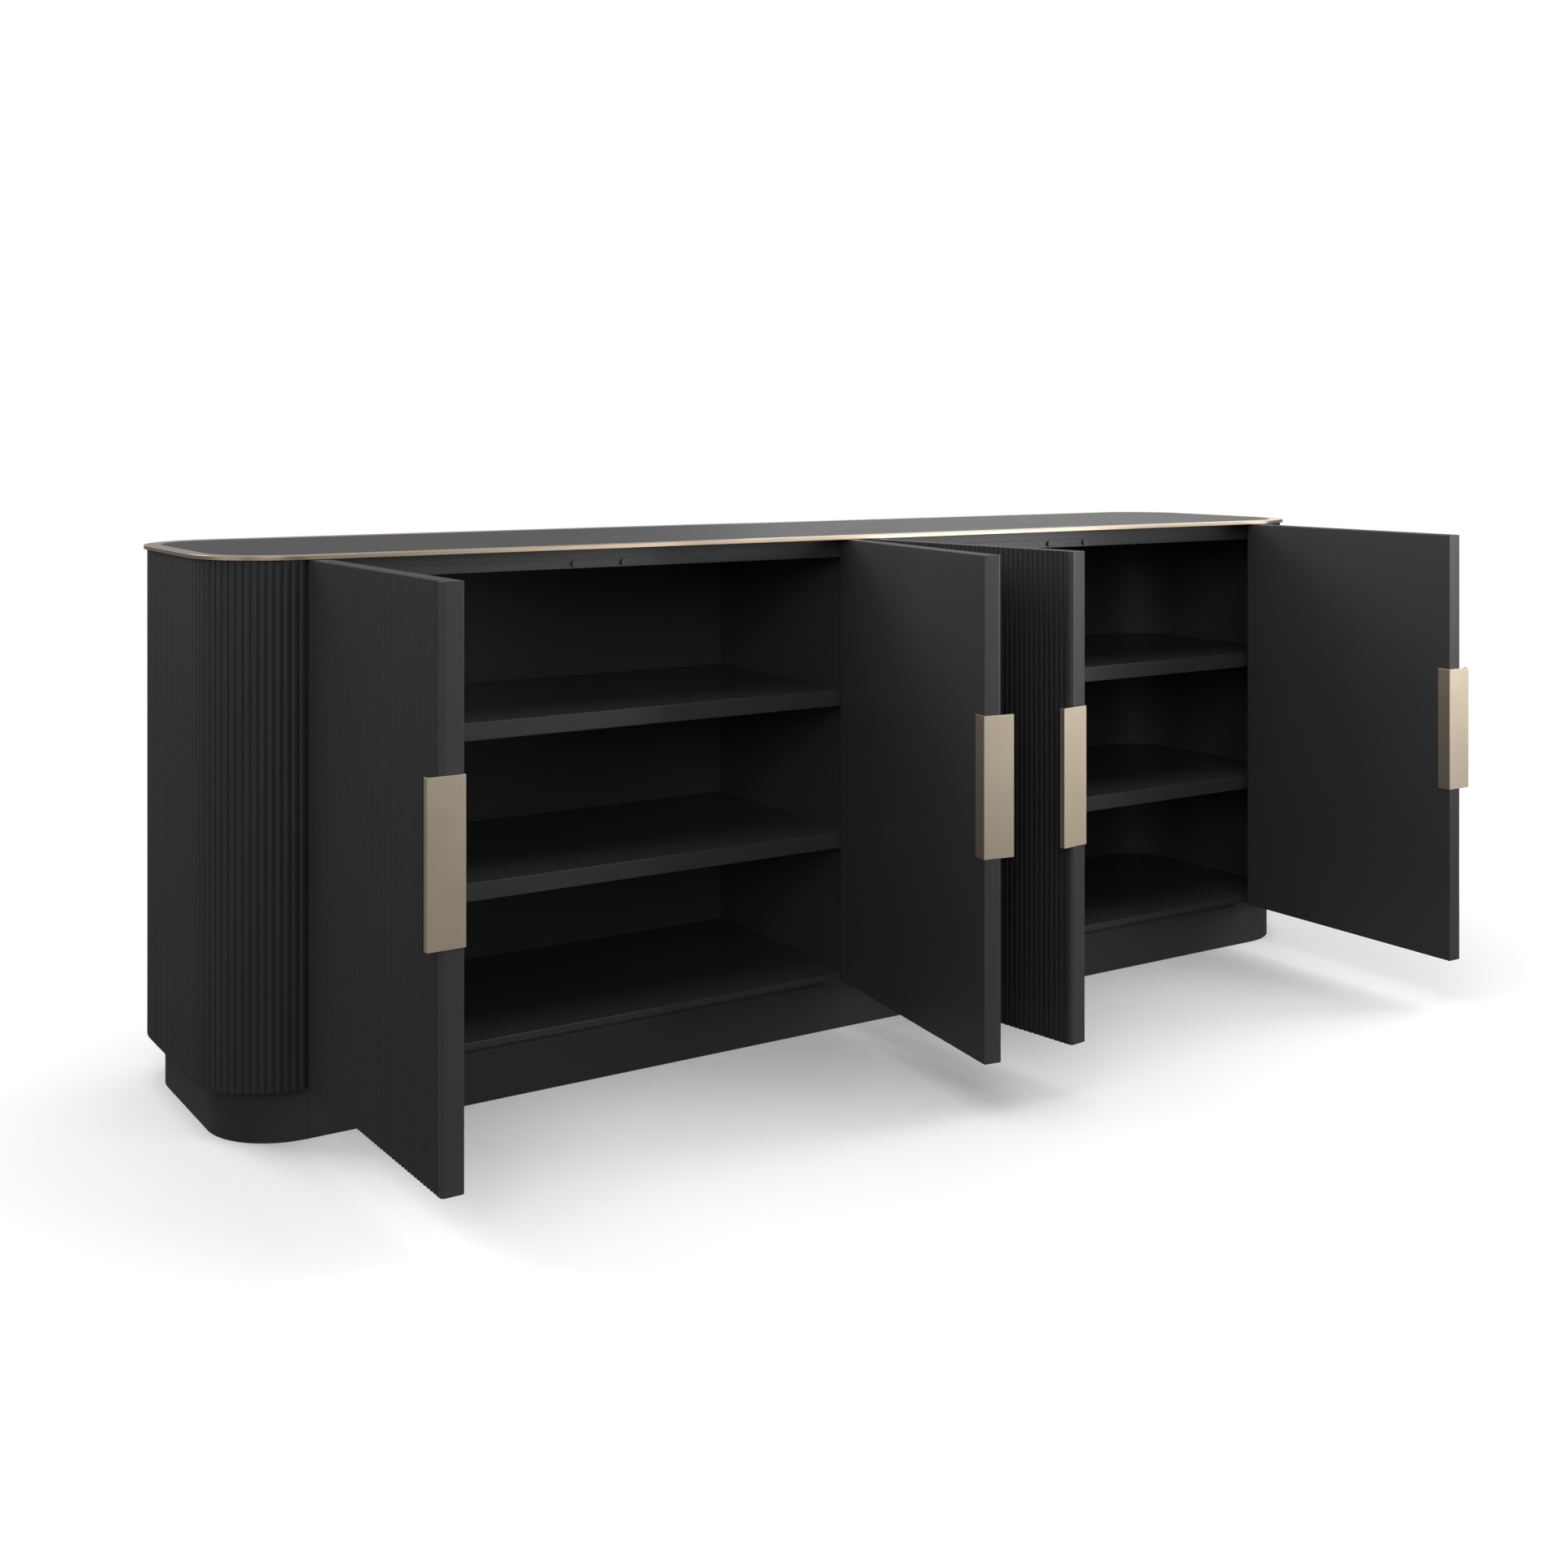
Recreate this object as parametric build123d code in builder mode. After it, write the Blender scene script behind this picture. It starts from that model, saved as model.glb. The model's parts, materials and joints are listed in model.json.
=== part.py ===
from build123d import *
import os
from math import cos, pi, radians, sin, sqrt

os.makedirs("parts", exist_ok=True)

# Sideboard buffet. Millimetres, +Z up, front towards -Y, origin on the floor under its centre.
# Four doors stand open. Each turns about an upright pivot near its hinge edge.

# Overall
height = 850.0
body_width = 2228.0
body_depth = 487.0
corner_radius = 131.0
top_overhang = 5.0

# Plinth
plinth_height = 78.0
plinth_width = 2175.0
plinth_depth = 443.0
plinth_radius = 113.0
board = 18.0

# Top: a metal rim with a flange under the inset panel
rim_thickness = 6.0
rim_band = 26.0
rim_flange = 2.0
rim_flange_reach = 34.0
rim_arris = 0.6
inset_recess = 0.3

# Carcass
body_bottom = 80.0
skin = 5.0
reed_depth = 2.4
shell_wall = 18.0
base_thickness = 12.0
front_plane = -208.0
partition_thickness = 18.0
back_thickness = 16.0
sub_top_thickness = 18.0
rail_height = 15.0
rail_depth = 22.0
shelf_thickness = 28.0
shelf_bottoms = {"lower": 306.5, "upper": 553.0}
shelf_clearance = 1.0
panel_arris = 1.0

# Doors
door_width = 483.0
door_thickness = 31.0
door_bottom = 81.0
door_top = 843.0
edge_band = 8.0
edge_round = 6.0
reeds_per_door = 46
end_pivot_x = 976.0
end_pivot_edge = 4.5
end_pivot_face = 5.0
centre_pivot_x = 16.0
centre_pivot_edge = 9.0
centre_pivot_face = 15.0
open_angles = {"door_1": 89.2, "door_2": 81.8, "door_3": 81.7, "door_4": 89.8}

# Pulls
pull_bottom = 388.0
pull_height = 215.0
pull_sheet = 1.8
pull_flange = 23.5
pull_reach = 19.5
pull_lip = 7.5
pull_bend = 0.7

# Pivot hardware
pin_radius = 2.0
pin_projection = 0.4
bore_radius = 2.05
eye_radius = 3.5
leaf_thickness = 2.5
plate_thickness = 2.2
shoulder_radius = 3.4
running_gap = 0.1
screw_radius = 1.5
screw_head_radius = 3.0
screw_head_depth = 2.0
screw_length = 14.0

# Derived levels and outlines
rim_bottom = height - rim_thickness
sub_top_bottom = rim_bottom - sub_top_thickness
rail_bottom = sub_top_bottom - rail_height
base_top = plinth_height + base_thickness
body_front = -body_depth / 2
straight_half = body_width / 2 - corner_radius
inner_width = body_width - 2 * (skin + shell_wall)
inner_depth = body_depth - 2 * (skin + shell_wall)
inner_radius = corner_radius - skin - shell_wall
inner_back = inner_depth / 2
plinth_straight = plinth_width / 2 - plinth_radius
base_middle = plinth_height + base_thickness / 2
sub_top_middle = sub_top_bottom + sub_top_thickness / 2
door_height = door_top - door_bottom
door_names = ["door_1", "door_2", "door_3", "door_4"]
sides = {"left": -1, "right": 1}


def save(part, name):
    part.label = name
    export_step(part, f"parts/{name}.step")


def door_frame(name, level):
    """Plane at a door's pivot, at the pose it stands in: x runs along the door, z up."""
    left_hung = name in ("door_1", "door_3")
    at_end = name in ("door_1", "door_4")
    reach = end_pivot_x if at_end else centre_pivot_x
    face = end_pivot_face if at_end else centre_pivot_face
    side = -1 if name in ("door_1", "door_2") else 1
    angle = radians(open_angles[name])
    direction = (cos(angle) if left_hung else -cos(angle), -sin(angle), 0)
    origin = (side * reach, body_front + face, level)
    return Plane(origin=origin, x_dir=direction, z_dir=(0, 0, 1))


def door_sizes(name):
    """Hand of the door, and its pivot's distance from the hinge edge and the outer face."""
    hand = 1 if name in ("door_1", "door_3") else -1
    if name in ("door_1", "door_4"):
        return hand, end_pivot_edge, end_pivot_face
    return hand, centre_pivot_edge, centre_pivot_face


# ---------------------------------------------------------------- plinth
plate_screw_steps = (16.0, 36.0)
plate_screw_line = -212.0
plate_screw_places = [
    (side * (reach + inward * step), plate_screw_line, plinth_height)
    for side in (-1, 1)
    for reach, inward in ((end_pivot_x, -1), (centre_pivot_x, 1))
    for step in plate_screw_steps
]
for depth_side, name in ((-1, "plinth_front"), (1, "plinth_back")):
    with BuildPart() as plinth_board:
        with BuildSketch():
            with Locations((0, depth_side * (plinth_depth - board) / 2)):
                Rectangle(2 * plinth_straight, board)
        extrude(amount=plinth_height)
        if depth_side < 0:
            # pilot holes for the pivot plates' screws
            with Locations(*plate_screw_places):
                Hole(screw_radius, screw_length)
    save(plinth_board.part, name)

for side_name, side in sides.items():
    with BuildPart() as plinth_end:
        with BuildSketch():
            RectangleRounded(plinth_width, plinth_depth, plinth_radius)
            RectangleRounded(
                plinth_width - 2 * board,
                plinth_depth - 2 * board,
                plinth_radius - board,
                mode=Mode.SUBTRACT,
            )
            with Locations((-side * plinth_width / 2 + side * plinth_straight, 0)):
                Rectangle(plinth_width, plinth_depth, mode=Mode.SUBTRACT)
        extrude(amount=plinth_height)
    save(plinth_end.part, f"plinth_end_{side_name}")

rail_places = (-600, 0, 600)
with BuildPart() as plinth_cross_rails:
    with BuildSketch():
        with Locations(*[(x, 0) for x in rail_places]):
            Rectangle(board, plinth_depth - 2 * board)
    extrude(amount=plinth_height)
save(plinth_cross_rails.part, "plinth_cross_rails")

# Levellers inside the plinth: a block under the base panel and a threaded foot
leveller_places = [(x, y) for x in (-980, -320, 320, 980) for y in (-150, 150)]
leveller_block = 40.0
leveller_rod = 5.0
leveller_bore = 5.05
leveller_pad = 16.0
pad_height = 8.0
block_bottom = 40.0
bore_depth = 30.0
rod_top = 60.0
with BuildPart() as leveller_blocks:
    with BuildSketch(Plane.XY.offset(block_bottom)):
        with Locations(*leveller_places):
            Rectangle(leveller_block, leveller_block)
    extrude(amount=plinth_height - block_bottom)
    with Locations(*[(x, y, block_bottom) for x, y in leveller_places]):
        Cylinder(
            leveller_bore,
            bore_depth,
            align=(Align.CENTER, Align.CENTER, Align.MIN),
            mode=Mode.SUBTRACT,
        )
save(leveller_blocks.part, "leveller_blocks")

with BuildPart() as leveller_feet:
    with BuildSketch():
        with Locations(*leveller_places):
            Circle(leveller_pad)
    extrude(amount=pad_height)
    with BuildSketch(Plane.XY.offset(pad_height)):
        with Locations(*leveller_places):
            Circle(leveller_rod)
    extrude(amount=rod_top - pad_height)
save(leveller_feet.part, "leveller_feet")

# ---------------------------------------------------------------- carcass
plate_start = 8.0
plate_end = 46.0
plate_back = -190.0
plate_front = 1.0 - plinth_depth / 2
plate_eye = 4.5
arm_end = 20.0
arm_width = 14.0


def plate_outline(side, reach, inward, face):
    """Carcass half of a pivot hinge: a tab on the plinth with an eye under the door."""
    pivot_x = side * reach
    pivot_y = body_front + face
    near = side * (reach + inward * plate_start)
    far = side * (reach + inward * plate_end)
    with BuildSketch(Plane.XY.offset(plinth_height)) as outline:
        with BuildLine():
            Polyline(
                (near, plate_back),
                (far, plate_back),
                (far, plate_front),
                (near, plate_front),
                close=True,
            )
        make_face()
        with Locations((pivot_x, pivot_y)):
            Circle(plate_eye)
        with BuildLine():
            Polyline(
                (pivot_x, pivot_y - plate_eye),
                (side * (reach + inward * arm_end), plate_front),
                (near, plate_front + arm_width),
                (pivot_x, pivot_y + plate_eye),
                close=True,
            )
        make_face()
    return outline.sketch


plate_sets = [
    (side, reach, inward, face)
    for side in (-1, 1)
    for reach, inward, face in (
        (end_pivot_x, -1, end_pivot_face),
        (centre_pivot_x, 1, centre_pivot_face),
    )
]

with BuildPart() as hinge_plates:
    for side, reach, inward, face in plate_sets:
        extrude(plate_outline(side, reach, inward, face), amount=plate_thickness)
        with Locations((side * reach, body_front + face, plinth_height)):
            Cylinder(
                shoulder_radius,
                door_bottom - plinth_height - running_gap,
                align=(Align.CENTER, Align.CENTER, Align.MIN),
            )
            Cylinder(
                pin_radius,
                door_bottom - plinth_height + leaf_thickness + pin_projection,
                align=(Align.CENTER, Align.CENTER, Align.MIN),
            )
    with Locations(*plate_screw_places):
        Cylinder(
            screw_head_radius,
            plate_thickness,
            align=(Align.CENTER, Align.CENTER, Align.MIN),
            mode=Mode.SUBTRACT,
        )
save(hinge_plates.part, "hinge_plates_lower")

with BuildPart() as hinge_plate_screws:
    with Locations(*plate_screw_places):
        Cylinder(
            screw_head_radius, plate_thickness, align=(Align.CENTER, Align.CENTER, Align.MIN)
        )
        Cylinder(screw_radius, screw_length, align=(Align.CENTER, Align.CENTER, Align.MAX))
save(hinge_plate_screws.part, "hinge_plate_screws")

front_cut = corner_radius


def inner_outline(gap):
    """The inside of the carcass less a gap all round, cut straight at the front plane."""
    RectangleRounded(inner_width - 2 * gap, inner_depth - 2 * gap, inner_radius - gap)
    with Locations((0, front_plane - front_cut / 2)):
        Rectangle(inner_width, front_cut, mode=Mode.SUBTRACT)


with BuildPart() as base_panel:
    with BuildSketch(Plane.XY.offset(plinth_height)):
        inner_outline(0)
    extrude(amount=base_thickness)
    front_arris = base_panel.edges().filter_by(Axis.X).group_by(Axis.Y)[0].group_by(Axis.Z)[-1]
    fillet(front_arris, radius=panel_arris)
    for side, reach, inward, face in plate_sets:
        extrude(
            plate_outline(side, reach, inward, face), amount=plate_thickness, mode=Mode.SUBTRACT
        )
save(base_panel.part, "base_panel")

with BuildPart() as sub_top:
    with BuildSketch(Plane.XY.offset(sub_top_bottom)):
        inner_outline(0)
    extrude(amount=sub_top_thickness)
save(sub_top.part, "sub_top")

# The rail ends where the curved shell's inner face crosses the front plane
rail_clearance = 0.5
corner_depth = -front_plane - (inner_depth / 2 - inner_radius)
rail_end = straight_half + sqrt(inner_radius**2 - corner_depth**2) - rail_clearance
magnet_radius = 5.0
magnet_inset = 40.0
magnet_length = 16.0
magnet_stand_off = 4.0
rail_middle = rail_bottom + rail_height / 2
meeting_edges = {
    "door_1": -(end_pivot_x + end_pivot_edge) + door_width,
    "door_2": -(centre_pivot_x - centre_pivot_edge) - door_width,
    "door_3": centre_pivot_x - centre_pivot_edge + door_width,
    "door_4": end_pivot_x + end_pivot_edge - door_width,
}
magnet_places = [
    meeting_edges["door_1"] - magnet_inset,
    meeting_edges["door_2"] + magnet_inset,
    meeting_edges["door_3"] - magnet_inset,
    meeting_edges["door_4"] + magnet_inset,
]
for side_name, side in sides.items():
    with BuildPart() as top_rail:
        with BuildSketch(Plane.XY.offset(rail_bottom)):
            start = partition_thickness / 2
            with Locations((side * (start + rail_end) / 2, front_plane + rail_depth / 2)):
                Rectangle(rail_end - start, rail_depth)
        extrude(amount=rail_height)
        for x in magnet_places:
            if x * side > 0:
                with Locations(Location((x, front_plane, rail_middle), (90, 0, 0))):
                    Hole(magnet_radius, magnet_length - magnet_stand_off)
    save(top_rail.part, f"top_rail_{side_name}")

with BuildPart() as magnetic_catches:
    for x in magnet_places:
        with Locations(
            Location((x, front_plane - magnet_stand_off, rail_middle), (-90, 0, 0))
        ):
            Cylinder(magnet_radius, magnet_length, align=(Align.CENTER, Align.CENTER, Align.MIN))
save(magnetic_catches.part, "magnetic_catches")

# Shelf pins: four to a shelf
pin_size = 2.5
pin_in = 8.0
pin_out = 7.0
partition_pin_rows = (-150.0, 160.0)
end_pin_rows = (-85.0, 85.0)
pin_levels = [bottom - pin_size for bottom in shelf_bottoms.values()]

with BuildPart() as centre_partition:
    with BuildSketch(Plane.XY.offset(base_top)):
        with Locations((0, (front_plane + inner_back) / 2)):
            Rectangle(partition_thickness, inner_back - front_plane)
    extrude(amount=sub_top_bottom - base_top)
    fillet(centre_partition.edges().filter_by(Axis.Z).group_by(Axis.Y)[0], radius=panel_arris)
    for side in (-1, 1):
        for level in pin_levels:
            for y in partition_pin_rows:
                with Locations(
                    Location((side * partition_thickness / 2, y, level), (0, side * 90, 0))
                ):
                    Hole(pin_size, pin_in)
save(centre_partition.part, "centre_partition")

for side_name, side in sides.items():
    with BuildPart() as end_shell:
        with BuildSketch(Plane.XY.offset(body_bottom)):
            RectangleRounded(body_width - 2 * skin, body_depth - 2 * skin, corner_radius - skin)
            RectangleRounded(inner_width, inner_depth, inner_radius, mode=Mode.SUBTRACT)
            with Locations((-side * body_width / 2 + side * straight_half, 0)):
                Rectangle(body_width, body_depth, mode=Mode.SUBTRACT)
        extrude(amount=rim_bottom - body_bottom)
        for level in pin_levels:
            for y in end_pin_rows:
                with Locations(Location((side * inner_width / 2, y, level), (0, -side * 90, 0))):
                    Hole(pin_size, pin_in)
    save(end_shell.part, f"end_shell_{side_name}")

with BuildPart() as shelf_pins:
    for side in (-1, 1):
        for level in pin_levels:
            for y in partition_pin_rows:
                start = partition_thickness / 2 - pin_in
                with Locations(Location((side * start, y, level), (0, side * 90, 0))):
                    Cylinder(
                        pin_size, pin_in + pin_out, align=(Align.CENTER, Align.CENTER, Align.MIN)
                    )
            for y in end_pin_rows:
                start = inner_width / 2 + pin_in
                with Locations(Location((side * start, y, level), (0, -side * 90, 0))):
                    Cylinder(
                        pin_size, pin_in + pin_out, align=(Align.CENTER, Align.CENTER, Align.MIN)
                    )
save(shelf_pins.part, "shelf_pins")

# Reeding round each end: equal reeds on each corner, and equal reeds on the flat between
reeds_per_corner = 18
reeds_on_flat = 22
flat_length = body_depth - 2 * corner_radius


def corner_point(centre_y, angle, inset):
    """Point on the right-hand corner, at an angle from straight back, inset from the crest."""
    radius = corner_radius - inset
    return (straight_half + radius * sin(angle), centre_y + radius * cos(angle))


def end_outline_point(step, inset):
    """Point on the right end's outline, counted in reeds from the front, inset from the crest."""
    turn = pi / 2 / reeds_per_corner
    if step <= reeds_per_corner:
        return corner_point(-flat_length / 2, pi - step * turn, inset)
    step -= reeds_per_corner
    if step <= reeds_on_flat:
        y = -flat_length / 2 + step * flat_length / reeds_on_flat
        return (body_width / 2 - inset, y)
    step -= reeds_on_flat
    return corner_point(flat_length / 2, pi / 2 - step * turn, inset)


end_reeds = 2 * reeds_per_corner + reeds_on_flat
for side_name, side in sides.items():
    with BuildPart() as end_reeding:
        with BuildSketch(Plane.XY.offset(body_bottom)):
            with BuildLine():
                for reed in range(end_reeds):
                    valleys = [end_outline_point(reed + step, reed_depth) for step in (0, 1)]
                    crest = end_outline_point(reed + 0.5, 0)
                    points = [(side * x, y) for x, y in (valleys[0], crest, valleys[1])]
                    ThreePointArc(*points)
                Line(
                    (side * straight_half, -body_front - reed_depth),
                    (side * straight_half, -body_front - skin),
                )
                backing = corner_radius - skin
                middle = (
                    side * (straight_half + backing * sin(pi / 4)),
                    flat_length / 2 + backing * cos(pi / 4),
                )
                edge_x = side * (body_width / 2 - skin)
                ThreePointArc(
                    (side * straight_half, -body_front - skin), middle, (edge_x, flat_length / 2)
                )
                Line((edge_x, flat_length / 2), (edge_x, -flat_length / 2))
                ThreePointArc(
                    (edge_x, -flat_length / 2),
                    (middle[0], -middle[1]),
                    (side * straight_half, body_front + skin),
                )
                Line(
                    (side * straight_half, body_front + skin),
                    (side * straight_half, body_front + reed_depth),
                )
            make_face()
        extrude(amount=rim_bottom - body_bottom)
    save(end_reeding.part, f"end_reeding_{side_name}")

# Back panels, screwed to the base and the sub-top
back_screw_rows = (base_middle, sub_top_middle)
back_screw_columns = (120.0, 540.0, 930.0)
back_outer = inner_back + back_thickness
for side_name, side in sides.items():
    with BuildPart() as back_panel:
        with BuildSketch(Plane.XY.offset(body_bottom)):
            with Locations((side * straight_half / 2, inner_back + back_thickness / 2)):
                Rectangle(straight_half, back_thickness)
        extrude(amount=rim_bottom - body_bottom)
        for x in back_screw_columns:
            for z in back_screw_rows:
                with Locations(Location((side * x, back_outer, z), (-90, 0, 0))):
                    CounterBoreHole(screw_radius, screw_head_radius, screw_head_depth)
    save(back_panel.part, f"back_panel_{side_name}")

with BuildPart() as back_panel_screws:
    for side in (-1, 1):
        for x in back_screw_columns:
            for z in back_screw_rows:
                with Locations(Location((side * x, back_outer, z), (90, 0, 0))):
                    Cylinder(
                        screw_head_radius,
                        screw_head_depth,
                        align=(Align.CENTER, Align.CENTER, Align.MIN),
                    )
                    Cylinder(
                        screw_radius, back_thickness, align=(Align.CENTER, Align.CENTER, Align.MIN)
                    )
save(back_panel_screws.part, "back_panel_screws")

# Shelves follow the curved ends
for level_name, bottom in shelf_bottoms.items():
    for side_name, side in sides.items():
        with BuildPart() as shelf:
            with BuildSketch(Plane.XY.offset(bottom)):
                inner_outline(shelf_clearance)
                cut = inner_width / 2 + partition_thickness / 2 + shelf_clearance
                with Locations((side * (cut - inner_width / 2) - side * cut / 2, 0)):
                    Rectangle(cut, inner_depth, mode=Mode.SUBTRACT)
            extrude(amount=shelf_thickness)
            fillet(shelf.edges().filter_by(Axis.X).group_by(Axis.Y)[0], radius=panel_arris)
        save(shelf.part, f"shelf_{level_name}_{side_name}")

# ---------------------------------------------------------------- top
rim_width = body_width + 2 * top_overhang
rim_depth = body_depth + 2 * top_overhang
rim_radius = corner_radius + top_overhang
stud_depth = 3.5
upper_pivots = [
    (side * reach, body_front + face, rim_bottom) for side, reach, inward, face in plate_sets
]


def ring_outline(inset):
    RectangleRounded(rim_width - 2 * inset, rim_depth - 2 * inset, rim_radius - inset)


with BuildPart() as top_rim:
    with BuildSketch(Plane.XY.offset(rim_bottom)):
        ring_outline(0)
    extrude(amount=rim_thickness)
    fillet(top_rim.faces().sort_by(Axis.Z)[-1].edges(), radius=rim_arris)
    with BuildSketch(Plane.XY.offset(rim_bottom + rim_flange)):
        ring_outline(rim_band)
    extrude(amount=rim_thickness, mode=Mode.SUBTRACT)
    with BuildSketch(Plane.XY.offset(rim_bottom)):
        ring_outline(rim_band + rim_flange_reach)
    extrude(amount=rim_flange, mode=Mode.SUBTRACT)
    with Locations(*upper_pivots):
        Cylinder(
            pin_radius, stud_depth, align=(Align.CENTER, Align.CENTER, Align.MIN), mode=Mode.SUBTRACT
        )
save(top_rim.part, "top_rim")

with BuildPart() as top_inset:
    with BuildSketch(Plane.XY.offset(rim_bottom + rim_flange)):
        ring_outline(rim_band)
    extrude(amount=rim_thickness - rim_flange - inset_recess)
    with BuildSketch(Plane.XY.offset(rim_bottom)):
        ring_outline(rim_band + rim_flange_reach)
    extrude(amount=rim_flange)
save(top_inset.part, "top_inset")

with BuildPart() as hinge_pins_upper:
    for x, y, z in upper_pivots:
        with Locations((x, y, z)):
            Cylinder(pin_radius, stud_depth, align=(Align.CENTER, Align.CENTER, Align.MIN))
            Cylinder(
                shoulder_radius,
                rim_bottom - door_top - running_gap,
                align=(Align.CENTER, Align.CENTER, Align.MAX),
            )
            Cylinder(
                pin_radius,
                rim_bottom - door_top + leaf_thickness + pin_projection,
                align=(Align.CENTER, Align.CENTER, Align.MAX),
            )
save(hinge_pins_upper.part, "hinge_pins_upper")

# ---------------------------------------------------------------- doors
pin_pocket = 1.5
pin_room_radius = 2.5
leaf_neck = 12.0
leaf_end = 46.0
leaf_inset = 1.0
leaf_width = 12.0
leaf_screw_length = 16.0
leaf_screw_steps = (20.0, 38.0)
leaf_screw_row = leaf_inset + leaf_width / 2
strike_radius = 6.0
strike_thickness = 2.0
leaf_levels = {"lower": door_bottom, "upper": door_top - leaf_thickness}


def leaf_profile(hand):
    """Door half of a pivot hinge, let into the edge: an eye joined to a screwed tongue."""
    with BuildSketch(mode=Mode.PRIVATE) as profile:
        Circle(eye_radius)
        with BuildLine():
            Polyline(
                (0, -eye_radius * hand),
                (leaf_neck, leaf_inset * hand),
                (leaf_end, leaf_inset * hand),
                (leaf_end, (leaf_inset + leaf_width) * hand),
                (leaf_neck, (leaf_inset + leaf_width) * hand),
                (0, eye_radius * hand),
                close=True,
            )
        make_face()
    return profile.sketch


def cut_leaf_pockets(name, hand):
    """Pockets for both leaves, room for the pins' ends, and pilot holes for the screws."""
    for end, level in leaf_levels.items():
        plane = door_frame(name, level)
        extrude(plane * leaf_profile(hand), amount=leaf_thickness, mode=Mode.SUBTRACT)
        deeper = leaf_thickness if end == "lower" else -pin_pocket
        with BuildSketch(door_frame(name, level + deeper)) as pin_room:
            Circle(pin_room_radius)
        extrude(pin_room.sketch, amount=pin_pocket, mode=Mode.SUBTRACT)


for name in door_names:
    hand, edge, face = door_sizes(name)
    free_edge = door_width - edge
    inner_face = door_thickness - face
    outer_face = -face
    reed_end = free_edge - edge_band

    # Slab: the full thickness shows only at the free edge, with a rounded outer corner
    with BuildPart() as slab:
        with BuildSketch(door_frame(name, door_bottom)):
            with BuildLine():
                Polyline(
                    (reed_end, hand * (outer_face + skin)),
                    (-edge, hand * (outer_face + skin)),
                    (-edge, hand * inner_face),
                    (free_edge, hand * inner_face),
                    (free_edge, hand * (outer_face + edge_round)),
                )
                corner = (free_edge - edge_round, outer_face + edge_round)
                ThreePointArc(
                    (free_edge, hand * corner[1]),
                    (
                        corner[0] + edge_round * cos(pi / 4),
                        hand * (corner[1] - edge_round * sin(pi / 4)),
                    ),
                    (corner[0], hand * outer_face),
                )
                Polyline(
                    (corner[0], hand * outer_face),
                    (reed_end, hand * outer_face),
                    (reed_end, hand * (outer_face + skin)),
                )
            make_face()
        extrude(amount=door_height)
        cut_leaf_pockets(name, hand)
        for step in leaf_screw_steps:
            for level, way in ((door_bottom, 1), (door_top, -1)):
                with BuildSketch(door_frame(name, level)):
                    with Locations((step, leaf_screw_row * hand)):
                        Circle(screw_radius)
                extrude(amount=way * leaf_screw_length, mode=Mode.SUBTRACT)
        strike_plane = door_frame(name, rail_middle)
        strike_at = strike_plane.location * Location(
            (free_edge - magnet_inset, hand * inner_face, 0), (-90 * hand, 0, 0)
        )
        with Locations(strike_at):
            Cylinder(
                strike_radius,
                strike_thickness,
                align=(Align.CENTER, Align.CENTER, Align.MAX),
                mode=Mode.SUBTRACT,
            )
    save(slab.part, f"{name}_slab")

    with BuildPart() as strike:
        with Locations(strike_at):
            Cylinder(
                strike_radius, strike_thickness, align=(Align.CENTER, Align.CENTER, Align.MAX)
            )
    save(strike.part, f"{name}_strike")

    # Reeding on the outer face
    pitch = (reed_end + edge) / reeds_per_door
    with BuildPart() as reeding:
        with BuildSketch(door_frame(name, door_bottom)):
            with BuildLine():
                for reed in range(reeds_per_door):
                    x = -edge + reed * pitch
                    valley = hand * (outer_face + reed_depth)
                    ThreePointArc(
                        (x, valley), (x + pitch / 2, hand * outer_face), (x + pitch, valley)
                    )
                Polyline(
                    (reed_end, hand * (outer_face + reed_depth)),
                    (reed_end, hand * (outer_face + skin)),
                    (-edge, hand * (outer_face + skin)),
                    (-edge, hand * (outer_face + reed_depth)),
                )
            make_face()
        extrude(amount=door_height)
        if face < eye_radius + skin:
            cut_leaf_pockets(name, hand)
    save(reeding.part, f"{name}_reeding")

    # Hinge leaves, top and bottom
    with BuildPart() as leaves:
        for level in leaf_levels.values():
            extrude(door_frame(name, level) * leaf_profile(hand), amount=leaf_thickness)
            with BuildSketch(door_frame(name, level)):
                Circle(bore_radius)
                with Locations(*[(step, leaf_screw_row * hand) for step in leaf_screw_steps]):
                    Circle(screw_head_radius)
            extrude(amount=leaf_thickness, mode=Mode.SUBTRACT)
    save(leaves.part, f"{name}_hinge_leaves")

    with BuildPart() as leaf_screws:
        for level, way in ((door_bottom, 1), (door_top, -1)):
            for radius, length in (
                (screw_head_radius, leaf_thickness),
                (screw_radius, leaf_screw_length),
            ):
                with BuildSketch(door_frame(name, level)):
                    with Locations(*[(step, leaf_screw_row * hand) for step in leaf_screw_steps]):
                        Circle(radius)
                extrude(amount=way * length)
    save(leaf_screws.part, f"{name}_leaf_screws")

    # Pull: one bent sheet, over the inner face, the free edge and out past the reeding
    with BuildPart() as pull:
        with BuildSketch(door_frame(name, pull_bottom)):
            with BuildLine():
                Polyline(
                    (free_edge - pull_flange, hand * inner_face),
                    (free_edge, hand * inner_face),
                    (free_edge, hand * (outer_face - pull_reach + pull_sheet)),
                    (free_edge - pull_lip, hand * (outer_face - pull_reach + pull_sheet)),
                    (free_edge - pull_lip, hand * (outer_face - pull_reach)),
                    (free_edge + pull_sheet, hand * (outer_face - pull_reach)),
                    (free_edge + pull_sheet, hand * (inner_face + pull_sheet)),
                    (free_edge - pull_flange, hand * (inner_face + pull_sheet)),
                    close=True,
                )
            make_face()
        extrude(amount=pull_height)
        outer_bends = pull.edges().filter_by(Axis.Z).filter_by(
            lambda bend: door_frame(name, 0).to_local_coords(bend.center()).X > free_edge + pull_bend
        )
        fillet(outer_bends, radius=pull_bend)
    save(pull.part, f"{name}_pull")
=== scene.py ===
import json
import math

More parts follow.
